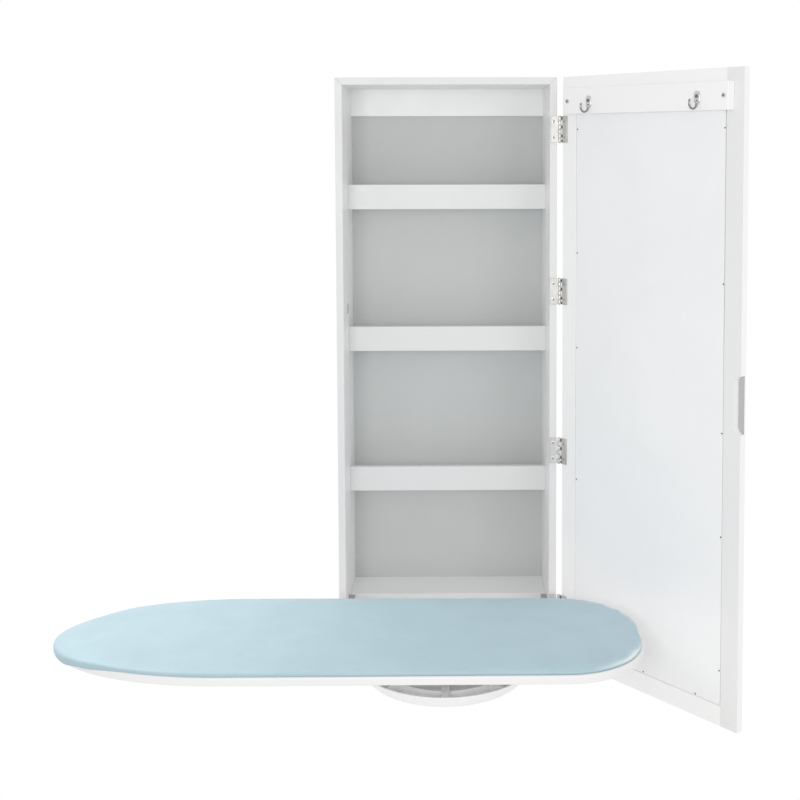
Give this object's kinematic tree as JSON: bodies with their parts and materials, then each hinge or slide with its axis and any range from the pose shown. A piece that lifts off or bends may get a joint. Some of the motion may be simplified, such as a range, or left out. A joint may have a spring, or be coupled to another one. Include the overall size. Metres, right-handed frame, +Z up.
{
  "type": "mirrored ironing board cabinet",
  "caption": "Wall cabinet with a mirror door, shelves behind retaining rails and a padded ironing board that folds down and swivels on a turntable.",
  "frame": {"origin": "centre of the case's back face, in the wall plane", "axes": "+X to the right seen from the front, +Y into the wall, +Z up"},
  "size_m": [1.0182, 0.593, 0.986],
  "materials": {
    "white_lacquer": "satin white lacquer on fibreboard",
    "back_board": "matt pale grey-white foil on hardboard",
    "backing_board": "matt white foil on hardboard",
    "mirror_glass": "silvered float glass",
    "nickel": "brushed nickel plate",
    "chrome": "polished chrome plate",
    "zinc_steel": "bright zinc plate",
    "white_steel": "white powder coat",
    "white_plastic": "moulded white plastic",
    "nylon": "natural nylon",
    "black_plastic": "moulded black plastic",
    "blue_cloth": "pale blue coated cotton",
    "foam": "open-cell foam"
  },
  "bodies": {
    "cabinet": {"side_panel_left": "white_lacquer", "side_panel_right": "white_lacquer", "top_panel": "white_lacquer", "bottom_panel": "white_lacquer", "back_panel": "back_board", "hanging_cleat": "white_lacquer", "hanger_plates": "zinc_steel", "hanger_screws": "zinc_steel", "shelf_upper": "white_lacquer", "shelf_middle": "white_lacquer", "shelf_lower": "white_lacquer", "shelf_rail_upper": "white_lacquer", "shelf_rail_middle": "white_lacquer", "shelf_rail_lower": "white_lacquer", "bottom_shelf": "white_lacquer", "catch_plate": "nickel", "catch_screws": "nickel", "hinge_case_leaves": "nickel", "hinge_pins": "nickel", "hinge_case_screws": "nickel", "side_bracket_left": "zinc_steel", "side_bracket_right": "zinc_steel", "pivot_stud_left": "zinc_steel", "pivot_stud_right": "zinc_steel", "bracket_screws": "zinc_steel"},
    "door": {"door_stile_hinge": "white_lacquer", "door_stile_free": "white_lacquer", "door_rail_top": "white_lacquer", "door_rail_bottom": "white_lacquer", "mirror_pane": "mirror_glass", "backing_panel": "backing_board", "backing_pins": "zinc_steel", "hook_rail": "white_lacquer", "hook_rail_screws": "zinc_steel", "coat_hook_1": "chrome", "coat_hook_2": "chrome", "hook_screws": "chrome", "hinge_door_leaves": "nickel", "hinge_door_screws": "nickel"},
    "fold_frame": {"pivot_tube": "white_steel", "pivot_bushes": "black_plastic", "stop_lug_left": "white_steel", "stop_lug_right": "white_steel", "fold_arm_left": "white_steel", "fold_arm_right": "white_steel", "turntable_base": "white_plastic", "slip_ring": "nylon", "arm_screws": "zinc_steel"},
    "board": {"board_panel": "white_lacquer", "foam_pad": "foam", "board_cover": "blue_cloth", "swivel_plate": "white_plastic", "swivel_plate_screws": "zinc_steel", "pivot_bolt": "zinc_steel", "pivot_washer": "zinc_steel", "pivot_nut": "zinc_steel"}
  },
  "joints": [
    {"name": "door_hinge", "type": "hinge", "parent": "cabinet", "child": "door", "pos_m": [0.1894, -0.1926, 0], "axis": [0, 0, 1], "range_deg": [-5, 50]},
    {"name": "board_fold", "type": "hinge", "parent": "cabinet", "child": "fold_frame", "pos_m": [0, -0.175, -0.421], "axis": [-1, 0, 0], "range_deg": [0, 22]},
    {"name": "board_swivel", "type": "hinge", "parent": "fold_frame", "child": "board", "pos_m": [0, -0.447, -0.383], "axis": [0, 0, 1], "range_deg": [0, 90]}
  ]
}
